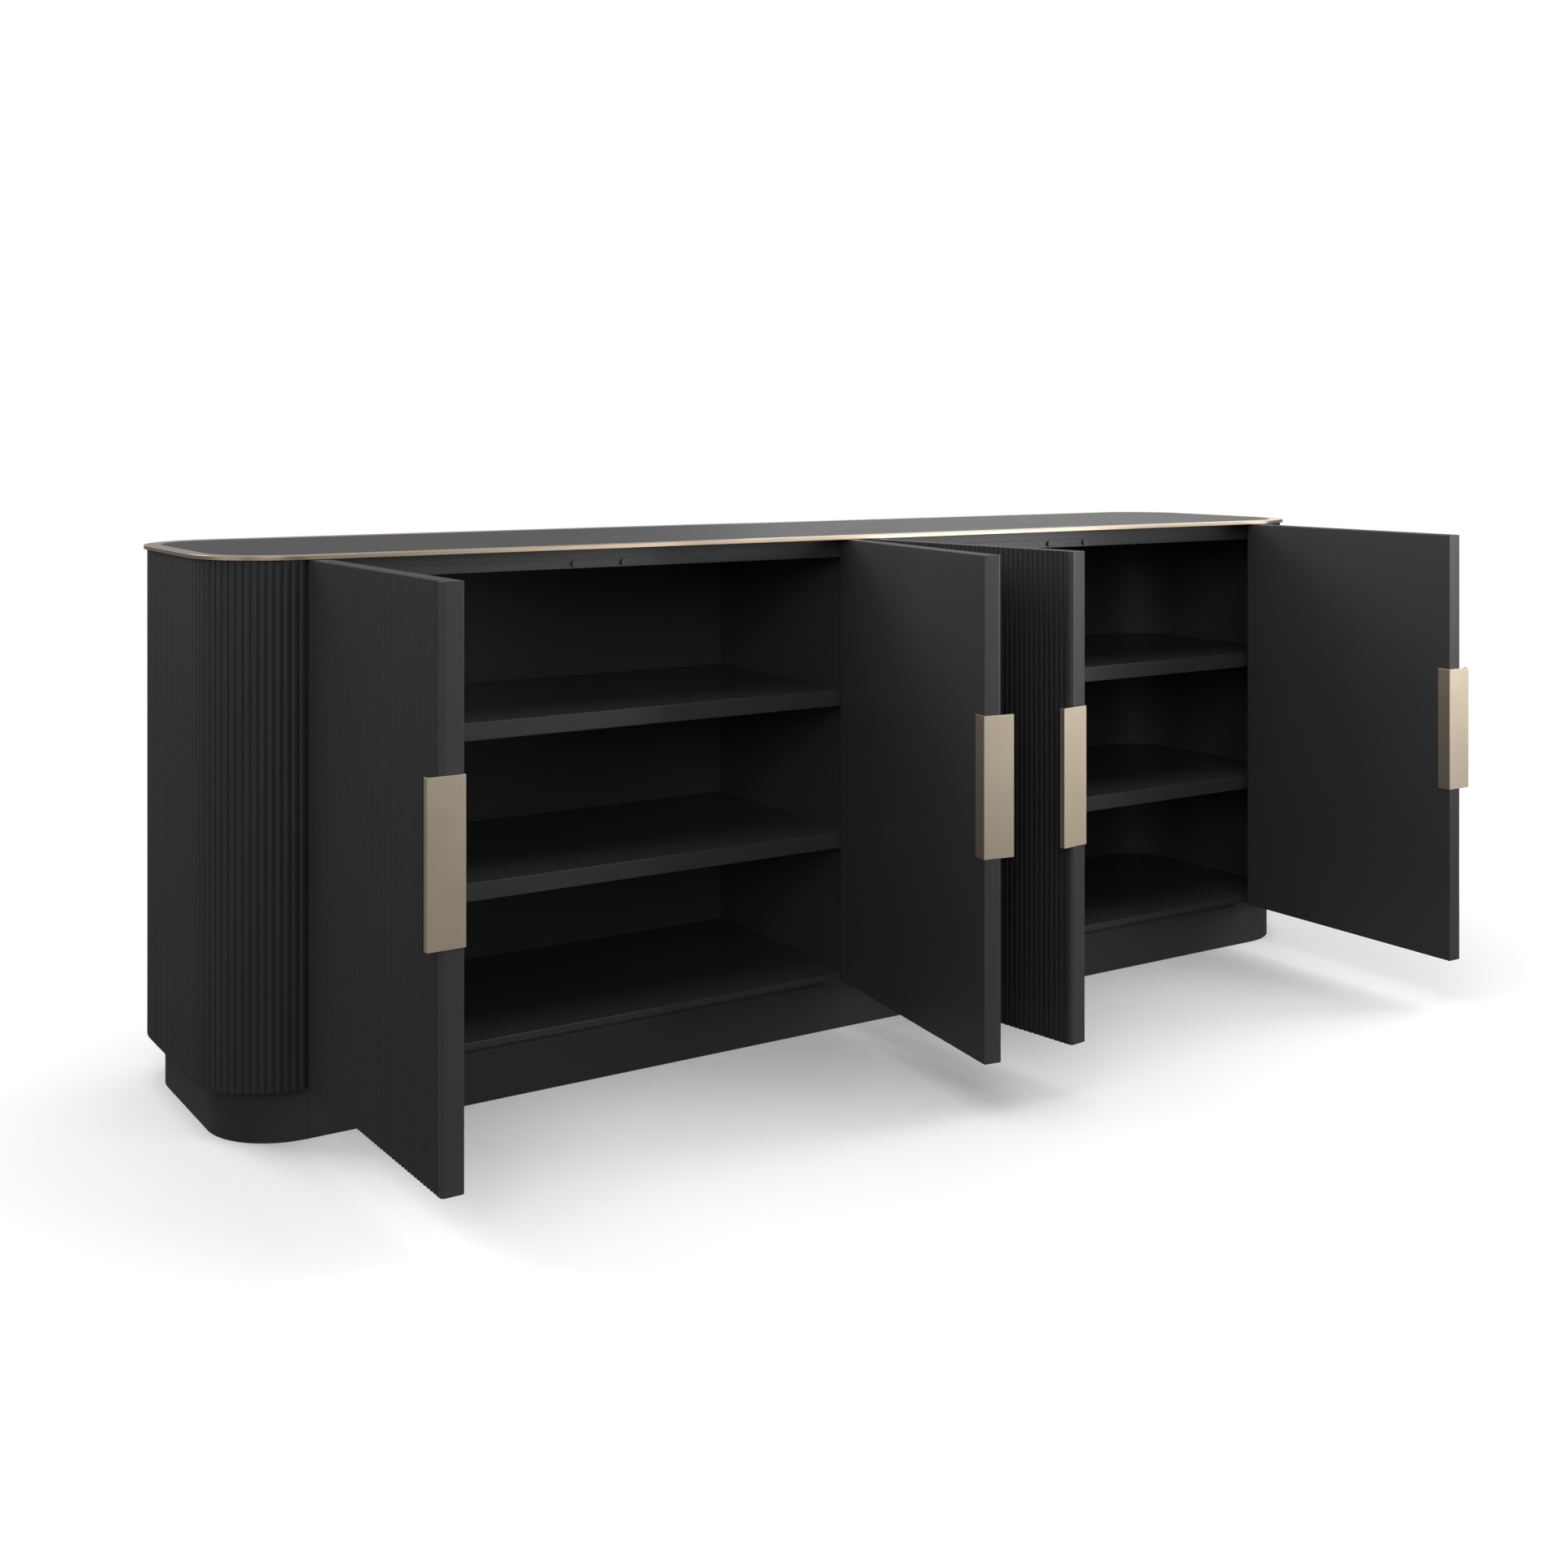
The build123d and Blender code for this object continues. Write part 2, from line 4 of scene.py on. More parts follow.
import bmesh
import bpy
import numpy as np
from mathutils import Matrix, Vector


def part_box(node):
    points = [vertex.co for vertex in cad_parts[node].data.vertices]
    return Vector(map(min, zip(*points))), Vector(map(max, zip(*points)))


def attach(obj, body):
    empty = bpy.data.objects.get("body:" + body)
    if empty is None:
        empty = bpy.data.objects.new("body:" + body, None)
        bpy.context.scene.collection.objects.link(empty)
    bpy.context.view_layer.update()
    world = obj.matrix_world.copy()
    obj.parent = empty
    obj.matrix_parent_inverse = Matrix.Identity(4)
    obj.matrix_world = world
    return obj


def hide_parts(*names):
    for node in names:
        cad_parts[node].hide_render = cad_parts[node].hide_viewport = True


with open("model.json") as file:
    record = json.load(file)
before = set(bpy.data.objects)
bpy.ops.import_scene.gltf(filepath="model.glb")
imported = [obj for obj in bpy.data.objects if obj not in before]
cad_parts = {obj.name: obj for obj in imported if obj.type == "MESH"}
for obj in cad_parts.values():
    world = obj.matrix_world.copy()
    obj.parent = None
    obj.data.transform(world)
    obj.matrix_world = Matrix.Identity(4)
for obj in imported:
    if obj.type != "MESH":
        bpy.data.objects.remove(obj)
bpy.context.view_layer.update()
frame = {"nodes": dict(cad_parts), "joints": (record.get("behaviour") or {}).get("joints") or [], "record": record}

# Metres and radians, in the CAD frame: +Z up, the doors' side towards -Y, floor at 0
MM = 0.001
QUARTER_TURN = math.pi / 2

# Reeded skin, as in the CAD source
SKIN = 5.0 * MM
REED_DEPTH = 2.4 * MM
REEDS_PER_DOOR = 46
REEDS_PER_CORNER = 18
REEDS_ON_FLAT = 22
CORNER_RADIUS = 131.0 * MM

# One reed: its share of the pitch, and the power below 1 that flattens its arc
REED_STEPS = 12
REED_SHARE = 0.9
REED_FLATNESS = 0.8

# Top rim, as in the CAD source
RIM_BAND = 26.0 * MM
RIM_FLANGE = 2.0 * MM
RIM_FLANGE_REACH = 34.0 * MM
TOP_CORNER_STEPS = 40

# Worn-off sharp edges
ARRIS_STEPS = 3
RIM_ARRIS = 0.7 * MM
INSET_ARRIS = 0.3 * MM
REED_ARRIS = 0.4 * MM
PANEL_ARRIS = 0.8 * MM
PULL_ARRIS = 0.35 * MM

# Which edges of a CAD shape are worn
SHARP_ANGLE = math.radians(50)
LONG_EDGE = 20.0 * MM
UPRIGHT_SHARE = 0.5
HINGE_ZONE = 60.0 * MM
SAME_LEVEL = 1e-5

# Mesh clean-up and shading
WELD = 1e-6
FLAT_ANGLE = math.radians(0.5)
CREASE_ANGLE = math.radians(38)
MITRE_LIMIT = 0.3

# Pieces that take the CAD shape with their sharp edges eased
BOARDS = (
    "plinth_front", "plinth_back", "plinth_end_left", "plinth_end_right", "base_panel",
    "centre_partition", "shelf_lower_left", "shelf_lower_right", "shelf_upper_left",
    "shelf_upper_right", "top_rail_left", "top_rail_right", "back_panel_left", "back_panel_right",
)

# Colours
WHITE = (1.0, 1.0, 1.0)
CHAMPAGNE = (0.56, 0.475, 0.365)
# The rim's colour is the champagne metal made darker and browner: painted shade standing in for the dimmer
# reflections along the rim.
RIM_CHAMPAGNE_SHADED = (0.39, 0.31, 0.23)
CARCASS = (0.036, 0.036, 0.0363)
DOOR = (0.038, 0.038, 0.0383)
REEDING = (0.021, 0.021, 0.0212)
PLINTH = (0.02, 0.02, 0.0202)
VENEER = (0.03, 0.03, 0.0302)
BARE_BOARD = (0.28, 0.2, 0.13)
NYLON = (0.03, 0.03, 0.03)

# Noise textures: features per metre along each axis
CLOUDS = (2.5, 2.5, 2.5)
SPRAY_SPECKS = (420.0, 420.0, 420.0)
ORANGE_PEEL = (650.0, 650.0, 650.0)
GRAIN_ALONG_X = (9.0, 180.0, 180.0)
GRAIN_UPRIGHT = (180.0, 180.0, 7.0)
OXIDE_MOTTLE = (300.0, 300.0, 300.0)
VENEER_FIGURE = (1.2, 26.0, 26.0)
VENEER_GRAIN = (5.0, 320.0, 320.0)
VENEER_PORES = (28.0, 1100.0, 1100.0)
BRUSHED_UPRIGHT = (1400.0, 1400.0, 7.0)
BRUSHED_LENGTHWISE = (7.0, 1400.0, 1.0)
POLISH_PATCHES = (14.0, 14.0, 14.0)
SCRATCH_FINENESS = 2.5
BOARD_FIBRES = (60.0, 60.0, 400.0)
BOARD_FLECKS = (240.0, 240.0, 240.0)
SPARK_TEXTURE = (1500.0, 1500.0, 1500.0)

# Spans over which a material changes: of noise, of the normal's Z, and of metres from the origin
NOISE_CORE = (0.3, 0.7)
NOISE_WIDE = (0.2, 0.8)
LOOKING_UP = (0.5, 0.95)
FLOOR_FADE = (1.9, 3.4)

# Tones: the darkest and lightest share of a colour
CLOUD_TONES = (0.92, 1.08)
GRAIN_TRACE = (0.98, 1.02)
FIGURE_TONES = (0.82, 1.15)
GRAIN_TONES = (0.84, 1.12)
POLISH_TONES = (0.95, 1.04)
FLECK_TONES = (0.7, 1.15)
SPARK_TONES = (0.9, 1.1)

# Bumps: strength and height
PEEL_BUMP = (0.05, 0.05 * MM)
GRAIN_BUMP = (0.12, 0.1 * MM)
PORE_BUMP = (0.1, 0.05 * MM)
BRUSH_BUMP = (0.02, 0.03 * MM)
SCRATCH_BUMP = (0.02, 0.02 * MM)
FIBRE_BUMP = (0.3, 0.2 * MM)
FLECK_BUMP = (0.2, 0.1 * MM)
SPARK_BUMP = (0.15, 0.05 * MM)

# Roughness and gloss, and how much rougher and duller the tops of the doors and reeds are; the gloss the tops lose
# is painted shade
LACQUER_SPREAD = 0.015
BRUSH_SPREAD = 0.03
VENEER_SPREAD = (-0.05, 0.06)
BOARD_ROUGHNESS = (0.75, 0.92)
NYLON_ROUGHNESS = (0.5, 0.62)
BOARD_SPECULAR = 0.2
TOP_ROUGHER = 0.3
TOP_SHADED_GLOSS_SHARE = 0.3

# Camera: place, turn about the upright axis in degrees, lens and sensor in millimetres
CAMERA_PLACE = (-1.8788, -2.8892, 1.0266)
CAMERA_TURN = -32.952
CAMERA_LENS = 43.127
CAMERA_SENSOR = 36.0
CAMERA_SHIFT = -0.22401

# Studio
PAPER = (0.93, 0.93, 0.93)
PAPER_ROUGHNESS = 0.9
FLOOR_HALF = 50.0
DOME_RADIUS = 55.0
DOME_SUBDIVISIONS = 4
WHITE_GLOW = 1.02
# Walls: height from 0, straight down, to 1, straight up, and brightness there
WALL_LEVELS = (
    (0.0, 0.1), (0.4, 0.1), (0.48, 0.14), (0.495, 0.53), (0.62, 0.53), (0.68, 0.28), (1.0, 0.28),
)


# ------------------------------------------------------------------ outlines
def on_circle(centre, radius, angle):
    return (centre[0] + radius * math.cos(angle), centre[1] + radius * math.sin(angle))


def stadium(half_width, half_depth, radius, inset):
    """Rounded rectangle round the origin, anticlockwise, with the same points for every inset."""
    points = []
    for turn, (side, way) in enumerate(((1, -1), (1, 1), (-1, 1), (-1, -1))):
        centre = (side * (half_width - radius), way * (half_depth - radius))
        for step in range(TOP_CORNER_STEPS + 1):
            angle = (turn - 1 + step / TOP_CORNER_STEPS) * QUARTER_TURN
            points.append(on_circle(centre, radius - inset, angle))
    return points


def shrink(outline, distance):
    """An anticlockwise outline moved inwards by a small distance."""
    points = np.array(outline, float)
    ahead = np.roll(points, -1, axis=0) - points
    ahead /= np.linalg.norm(ahead, axis=1)[:, None]
    inward = np.stack([-ahead[:, 1], ahead[:, 0]], axis=1)
    before = np.roll(inward, 1, axis=0)
    meet = 1.0 + (inward * before).sum(axis=1)
    return points + distance * (inward + before) / np.maximum(meet, MITRE_LIMIT)[:, None]


def arris_profile(width):
    """Pairs of distances from a rounded edge's two faces: the first grows, the second shrinks."""
    angles = [step / ARRIS_STEPS * QUARTER_TURN for step in range(ARRIS_STEPS + 1)]
    return [(width * (1 - math.cos(angle)), width * (1 - math.sin(angle))) for angle in angles]


def running_length(points):
    """Distance along a line of points from the first to each."""
    return np.concatenate([[0.0], np.cumsum(np.linalg.norm(np.diff(points, axis=0), axis=1))])


# ------------------------------------------------------------------ meshes
def skin_rings(rings, closed=False):
    """Vertices and faces through a stack of equal rings, capped at both ends unless it is closed."""
    count = len(rings[0])
    vertices = [point for ring in rings for point in ring]
    faces = []
    for row in range(len(rings) if closed else len(rings) - 1):
        start = row * count
        above = (row + 1) % len(rings) * count
        for i in range(count):
            j = (i + 1) % count
            faces.append((start + i, start + j, above + j, above + i))
    if not closed:
        faces.append(tuple(reversed(range(count))))
        faces.append(tuple(range(len(vertices) - count, len(vertices))))
    return vertices, faces


def built_mesh(name, vertices, faces):
    """A mesh with its faces turned outwards."""
    mesh = bpy.data.meshes.new(name)
    mesh.from_pydata(vertices, [], faces)
    mesh.update()
    mesh.validate()
    shape = bmesh.new()
    shape.from_mesh(mesh)
    bmesh.ops.recalc_face_normals(shape, faces=shape.faces)
    shape.to_mesh(mesh)
    shape.free()
    return mesh


def upright_mesh(name, outline, low, high, arris):
    """An upright solid on an anticlockwise outline, with rounded top and bottom edges."""
    rings = []
    for rise, inset in arris_profile(arris):
        rings.append([(x, y, low + rise) for x, y in shrink(outline, inset)])
    for inset, fall in arris_profile(arris):
        rings.append([(x, y, high - fall) for x, y in shrink(outline, inset)])
    return built_mesh(name, *skin_rings(rings))


def is_worn(edge, ends, avoid):
    """Whether an edge is worn: an upright one, or a long or end one clear of the hinge parts."""
    if not edge.is_manifold or not edge.is_convex or edge.calc_face_angle() < SHARP_ANGLE:
        return False
    first, last = (vertex.co for vertex in edge.verts)
    if abs(first.z - last.z) > UPRIGHT_SHARE * (ends[1] - ends[0]):
        return True
    middle = (first + last) / 2
    if avoid is not None and (middle.xy - avoid).length < HINGE_ZONE:
        return False
    at_end = any(abs(first.z - end) + abs(last.z - end) < SAME_LEVEL for end in ends)
    return at_end or edge.calc_length() > LONG_EDGE


def softened_mesh(node, width, avoid=None):
    """A CAD node's shape with its worn edges rounded off; level ones near avoid stay sharp."""
    mesh = frame["nodes"][node].data.copy()
    shape = bmesh.new()
    shape.from_mesh(mesh)
    bmesh.ops.remove_doubles(shape, verts=shape.verts, dist=WELD)
    bmesh.ops.dissolve_limit(shape, angle_limit=FLAT_ANGLE, verts=shape.verts, edges=shape.edges)
    levels = [vertex.co.z for vertex in shape.verts]
    ends = (min(levels), max(levels))
    chosen = [edge for edge in shape.edges if is_worn(edge, ends, avoid)]
    bmesh.ops.bevel(
        shape, geom=chosen, offset=width, segments=ARRIS_STEPS, profile=0.5, affect="EDGES"
    )
    shape.to_mesh(mesh)
    shape.free()
    for name in [attribute.name for attribute in mesh.attributes if "normal" in attribute.name]:
        mesh.attributes.remove(mesh.attributes[name])
    return mesh


def add_piece(name, mesh, body, node, material=None):
    """Adds a mesh, smooth up to its sharp edges, in place of a CAD node of the body."""
    slot = SLOTS[node]
    mesh.polygons.foreach_set("use_smooth", [True] * len(mesh.polygons))
    mesh.set_sharp_from_angle(angle=CREASE_ANGLE)
    mesh.materials.clear()
    mesh.materials.append(material or MATERIALS[slot])
    piece = bpy.data.objects.new(name, mesh)
    bpy.context.scene.collection.objects.link(piece)
    even = piece.modifiers.new("even_normals", "WEIGHTED_NORMAL")
    even.keep_sharp = True
    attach(piece, body)
    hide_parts(node)


# ------------------------------------------------------------------ material nodes
def new_material(name):
    material = bpy.data.materials.new(name)
    material.use_nodes = True
    return material, material.node_tree, material.node_tree.nodes["Principled BSDF"]


def noise(tree, scale, detail=3.0, coordinates="Object"):
    """Noise with so many features per metre along each axis."""
    place = tree.nodes.new("ShaderNodeTexCoord")
    stretch = tree.nodes.new("ShaderNodeMapping")
    stretch.inputs["Scale"].default_value = scale
    cloud = tree.nodes.new("ShaderNodeTexNoise")
    cloud.inputs["Scale"].default_value = 1.0
    cloud.inputs["Detail"].default_value = detail
    tree.links.new(place.outputs[coordinates], stretch.inputs["Vector"])
    tree.links.new(stretch.outputs["Vector"], cloud.inputs["Vector"])
    return cloud.outputs["Fac"]


def ranged(tree, source, low, high, span=NOISE_CORE):
    """A value that goes from low to high as its source crosses a span."""
    spread = tree.nodes.new("ShaderNodeMapRange")
    spread.inputs["From Min"].default_value = span[0]
    spread.inputs["From Max"].default_value = span[1]
    spread.inputs["To Min"].default_value = low
    spread.inputs["To Max"].default_value = high
    tree.links.new(source, spread.inputs["Value"])
    return spread.outputs["Result"]


def scaled(values, factor):
    return tuple(value * factor for value in values)


def varied(tree, source, colour, tones):
    """A colour that noise takes from its darkest to its lightest tone."""
    dark, light = tones
    mixer = tree.nodes.new("ShaderNodeMix")
    mixer.data_type = "RGBA"
    mixer.inputs["A"].default_value = (*scaled(colour, dark), 1.0)
    mixer.inputs["B"].default_value = (*scaled(colour, light), 1.0)
    tree.links.new(ranged(tree, source, 0.0, 1.0), mixer.inputs["Factor"])
    return mixer.outputs["Result"]


def multiplied(tree, first, second):
    mixer = tree.nodes.new("ShaderNodeMix")
    mixer.data_type = "RGBA"
    mixer.blend_type = "MULTIPLY"
    mixer.inputs["Factor"].default_value = 1.0
    tree.links.new(first, mixer.inputs["A"])
    tree.links.new(second, mixer.inputs["B"])
    return mixer.outputs["Result"]


def facing_up(tree, low, high):
    """A value that goes from low on upright faces to high on level faces that look up."""
    place = tree.nodes.new("ShaderNodeTexCoord")
    split = tree.nodes.new("ShaderNodeSeparateXYZ")
    tree.links.new(place.outputs["Normal"], split.inputs[0])
    return ranged(tree, split.outputs["Z"], low, high, LOOKING_UP)


def raised(tree, shader, *layers):
    """Bump from one or more noise layers, each with its strength and height."""
    normal = None
    for source, (strength, height) in layers:
        bump = tree.nodes.new("ShaderNodeBump")
        bump.inputs["Strength"].default_value = strength
        bump.inputs["Distance"].default_value = height
        tree.links.new(source, bump.inputs["Height"])
        if normal is not None:
            tree.links.new(normal, bump.inputs["Normal"])
        normal = bump.outputs["Normal"]
    tree.links.new(normal, shader.inputs["Normal"])


# ------------------------------------------------------------------ materials
def lacquer(name, colour, roughness, specular, grain, rough_shaded_tops=False):
    """Sprayed satin lacquer: cloudy tone, a trace of the grain beneath and a fine orange peel."""
    material, tree, shader = new_material(name)
    clouds = varied(tree, noise(tree, CLOUDS), colour, CLOUD_TONES)
    streaks = varied(tree, noise(tree, grain, detail=4.0), WHITE, GRAIN_TRACE)
    tree.links.new(multiplied(tree, clouds, streaks), shader.inputs["Base Color"])
    specks = noise(tree, SPRAY_SPECKS, detail=2.0)
    satin = ranged(tree, specks, roughness - LACQUER_SPREAD, roughness + LACQUER_SPREAD, NOISE_WIDE)
    # Faces looking up are made rougher, and most of their specular gloss is cut: the cut gloss is painted shade on
    # the tops.
    if rough_shaded_tops:
        rougher = tree.nodes.new("ShaderNodeMath")
        rougher.operation = "ADD"
        tree.links.new(satin, rougher.inputs[0])
        tree.links.new(facing_up(tree, 0.0, TOP_ROUGHER), rougher.inputs[1])
        satin = rougher.outputs[0]
        duller = facing_up(tree, specular, TOP_SHADED_GLOSS_SHARE * specular)
        tree.links.new(duller, shader.inputs["Specular IOR Level"])
    else:
        shader.inputs["Specular IOR Level"].default_value = specular
    tree.links.new(satin, shader.inputs["Roughness"])
    raised(tree, shader, (noise(tree, ORANGE_PEEL, detail=1.0), PEEL_BUMP))
    return material


def veneer(name, colour, roughness, specular):
    """Charcoal stained veneer: long grain along X with fine open pores."""
    material, tree, shader = new_material(name)
    figure = noise(tree, VENEER_FIGURE, detail=5.0)
    grain = noise(tree, VENEER_GRAIN, detail=4.0)
    pores = noise(tree, VENEER_PORES, detail=2.0)
    broad = varied(tree, figure, colour, FIGURE_TONES)
    fine = varied(tree, grain, WHITE, GRAIN_TONES)
    tree.links.new(multiplied(tree, broad, fine), shader.inputs["Base Color"])
    smoothest, roughest = (roughness + change for change in VENEER_SPREAD)
    tree.links.new(ranged(tree, grain, smoothest, roughest), shader.inputs["Roughness"])
    shader.inputs["Specular IOR Level"].default_value = specular
    raised(tree, shader, (grain, GRAIN_BUMP), (pores, PORE_BUMP))
    return material


def brushed(name, colour, roughness, metallic, lines, coordinates="Object"):
    """Satin metal: fine lines one way, with patches of slightly different polish."""
    material, tree, shader = new_material(name)
    brush = noise(tree, lines, 3.0, coordinates)
    scratches = noise(tree, scaled(lines, SCRATCH_FINENESS), 2.0, coordinates)
    polish = varied(tree, noise(tree, POLISH_PATCHES), colour, POLISH_TONES)
    tree.links.new(polish, shader.inputs["Base Color"])
    satin = ranged(tree, brush, roughness - BRUSH_SPREAD, roughness + BRUSH_SPREAD, NOISE_WIDE)
    tree.links.new(satin, shader.inputs["Roughness"])
    shader.inputs["Metallic"].default_value = metallic
    raised(tree, shader, (brush, BRUSH_BUMP), (scratches, SCRATCH_BUMP))
    return material


def board(name, colour):
    """Unfinished hidden rails and blocks: pressed fibres with darker flecks."""
    material, tree, shader = new_material(name)
    fibres = noise(tree, BOARD_FIBRES, detail=5.0)
    flecks = noise(tree, BOARD_FLECKS)
    tree.links.new(varied(tree, flecks, colour, FLECK_TONES), shader.inputs["Base Color"])
    tree.links.new(ranged(tree, fibres, *BOARD_ROUGHNESS), shader.inputs["Roughness"])
    shader.inputs["Specular IOR Level"].default_value = BOARD_SPECULAR
    raised(tree, shader, (fibres, FIBRE_BUMP), (flecks, FLECK_BUMP))
    return material


def moulded(name, colour):
    """Moulded nylon with a spark-eroded texture."""
    material, tree, shader = new_material(name)
    texture = noise(tree, SPARK_TEXTURE, detail=2.0)
    tree.links.new(varied(tree, texture, colour, SPARK_TONES), shader.inputs["Base Color"])
    tree.links.new(ranged(tree, texture, *NYLON_ROUGHNESS), shader.inputs["Roughness"])
    raised(tree, shader, (texture, SPARK_BUMP))
    return material


SLOTS = {part["node"]: part["material_slot"] for part in frame["record"]["subparts"]}
MATERIALS = {
    "carcass_lacquer": lacquer(
        "satin_carcass", CARCASS, roughness=0.3, specular=0.35, grain=GRAIN_ALONG_X
    ),
    "door_lacquer": lacquer(
        "satin_door", DOOR, roughness=0.3, specular=0.4, grain=GRAIN_UPRIGHT, rough_shaded_tops=True
    ),
    "reeded_lacquer": lacquer(
        "matt_reeding", REEDING, roughness=0.48, specular=0.25, grain=GRAIN_UPRIGHT, rough_shaded_tops=True
    ),
    "plinth_lacquer": lacquer(
        "satin_plinth", PLINTH, roughness=0.45, specular=0.25, grain=GRAIN_ALONG_X
    ),
    "raw_board": board("bare_board", BARE_BOARD),
    "inset_veneer": veneer("charcoal_veneer", VENEER, roughness=0.5, specular=0.17),
    "champagne_metal": brushed(
        "champagne_pull", CHAMPAGNE, roughness=0.36, metallic=0.85, lines=BRUSHED_UPRIGHT
    ),
    "hinge_steel": lacquer("black_oxide", CARCASS, roughness=0.35, specular=0.4, grain=OXIDE_MOTTLE),
    "nylon": moulded("black_nylon", NYLON),
}
INTERIOR = lacquer("matt_interior", CARCASS, roughness=0.55, specular=0.18, grain=GRAIN_UPRIGHT)
# The rim gets its own darker, browner copy of the champagne metal: painted shade for its dimmer reflections.
RIM_METAL_SHADED = brushed("rim_metal_painted_shade", RIM_CHAMPAGNE_SHADED, 0.3, metallic=1.0, lines=BRUSHED_LENGTHWISE, coordinates="UV")


# ------------------------------------------------------------------ top
def top_outline(inset=0.0):
    """The rim's outer edge seen from above, moved in by the inset."""
    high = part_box("top_rim")[1]
    radius = CORNER_RADIUS + high.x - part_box("end_reeding_right")[1].x
    return stadium(high.x, high.y, radius, inset)


def rim_section(low, high):
    """The rim's cut, as distance in from its outer edge and height: a band with a flange inside."""
    section = [(RIM_BAND + RIM_FLANGE_REACH, low), (0.0, low)]
    section += [(reach, high - fall) for reach, fall in arris_profile(RIM_ARRIS)]
    section += [(RIM_BAND - reach, high - fall) for fall, reach in arris_profile(RIM_ARRIS)]
    section.append((RIM_BAND, low + RIM_FLANGE))
    section.append((RIM_BAND + RIM_FLANGE_REACH, low + RIM_FLANGE))
    return section


def make_rim():
    """The rim's section swept round the top, with a lengthwise map for its brushing."""
    low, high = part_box("top_rim")
    section = rim_section(low.z, high.z)
    rings = [[(x, y, level) for x, y in top_outline(inset)] for inset, level in section]
    mesh = built_mesh("rim_band", *skin_rings(rings, closed=True))
    along = running_length(top_outline())
    across = running_length(section)
    layer = mesh.uv_layers.new(name="UVMap")
    for loop in mesh.loops:
        ring, point = divmod(loop.vertex_index, len(along))
        layer.data[loop.index].uv = (along[point], across[ring])
    add_piece("rim_band", mesh, "root", "top_rim", RIM_METAL_SHADED)


def make_inset():
    """The dark panel that fills the rim, resting on its flange."""
    low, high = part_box("top_inset")
    base = low.z + RIM_FLANGE
    mesh = upright_mesh("inset_panel", top_outline(RIM_BAND), base, high.z, INSET_ARRIS)
    add_piece("inset_panel", mesh, "root", "top_inset")


# ------------------------------------------------------------------ reeding
def reed_row(start, end, count, normal):
    """Points of equal flat-topped reeds with narrow grooves between them, all but the last point."""
    start, end, normal = (np.array(value, float) for value in (start, end, normal))
    half = (end - start) / count / 2
    points = []
    for reed in range(count):
        middle = start + half * (2 * reed + 1)
        points.append(middle - half)
        for step in range(REED_STEPS + 1):
            angle = step / REED_STEPS * math.pi
            rise = REED_DEPTH * math.sin(angle) ** REED_FLATNESS
            points.append(middle - REED_SHARE * half * math.cos(angle) + normal * rise)
    return points


def corner_reeds(centre, first):
    """Points of the reeds round a corner, anticlockwise from its first angle."""
    turn = QUARTER_TURN / REEDS_PER_CORNER
    valley = CORNER_RADIUS - REED_DEPTH
    points = []
    for reed in range(REEDS_PER_CORNER):
        start, end = (on_circle(centre, valley, first + turn * step) for step in (reed, reed + 1))
        middle = first + turn * (reed + 0.5)
        points += reed_row(start, end, 1, (math.cos(middle), math.sin(middle)))
    return points


def end_outline(half_width, half_depth):
    """The skin round the right end, anticlockwise: its reeds, then its smooth back."""
    centre_x = half_width - CORNER_RADIUS
    centre_y = half_depth - CORNER_RADIUS
    edge = half_width - REED_DEPTH
    points = corner_reeds((centre_x, -centre_y), -QUARTER_TURN)
    points += reed_row((edge, -centre_y), (edge, centre_y), REEDS_ON_FLAT, (1, 0))
    points += corner_reeds((centre_x, centre_y), 0.0)
    points.append((centre_x, half_depth - REED_DEPTH))
    turn = QUARTER_TURN / REEDS_PER_CORNER
    for way, first in ((1, QUARTER_TURN), (-1, 0.0)):
        for step in range(REEDS_PER_CORNER + 1):
            centre = (centre_x, way * centre_y)
            points.append(on_circle(centre, CORNER_RADIUS - SKIN, first - turn * step))
    return points


def make_end_reeding(side, word):
    """The reeded skin of one end, drawn for the right and mirrored for the left."""
    low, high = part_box(f"end_reeding_{word}")
    half_width = max(abs(low.x), abs(high.x))
    outline = [(side * x, y) for x, y in end_outline(half_width, high.y)]
    if side < 0:
        outline.reverse()
    mesh = upright_mesh(f"reeded_end_{word}", outline, low.z, high.z, REED_ARRIS)
    add_piece(f"reeded_end_{word}", mesh, "root", f"end_reeding_{word}")


# ------------------------------------------------------------------ doors
def door_axes(joint):
    """A door's pivot, its direction from the hinge, its way in and its hand, at rest."""
    pivot = Vector(joint["pos_m"][:2])
    closed = max(joint["range_deg"], key=abs)
    hand = 1 if closed > 0 else -1
    angle = math.radians(-closed)
    along = Vector((hand * math.cos(angle), hand * math.sin(angle)))
    inward = Vector((-along.y, along.x)) * hand
    return pivot, along, inward, hand


def reach_along(node, pivot, direction):
    """Least and greatest distance of a CAD node from a point, in one direction."""
    places = [
        (vertex.co.xy - pivot).dot(direction) for vertex in frame["nodes"][node].data.vertices
    ]
    return min(places), max(places)


def door_outline(node, joint):
    """A door's reeded facing seen from above, anticlockwise, where its CAD node stands."""
    pivot, along, inward, hand = door_axes(joint)
    first, last = reach_along(node, pivot, along)
    crest = reach_along(node, pivot, inward)[0]
    valley = crest + REED_DEPTH
    points = reed_row((first, valley), (last, valley), REEDS_PER_DOOR, (0, -1))
    points += [(last, valley), (last, crest + SKIN), (first, crest + SKIN)]
    outline = [tuple(pivot + along * x + inward * y) for x, y in points]
    if hand < 0:
        outline.reverse()
    return outline


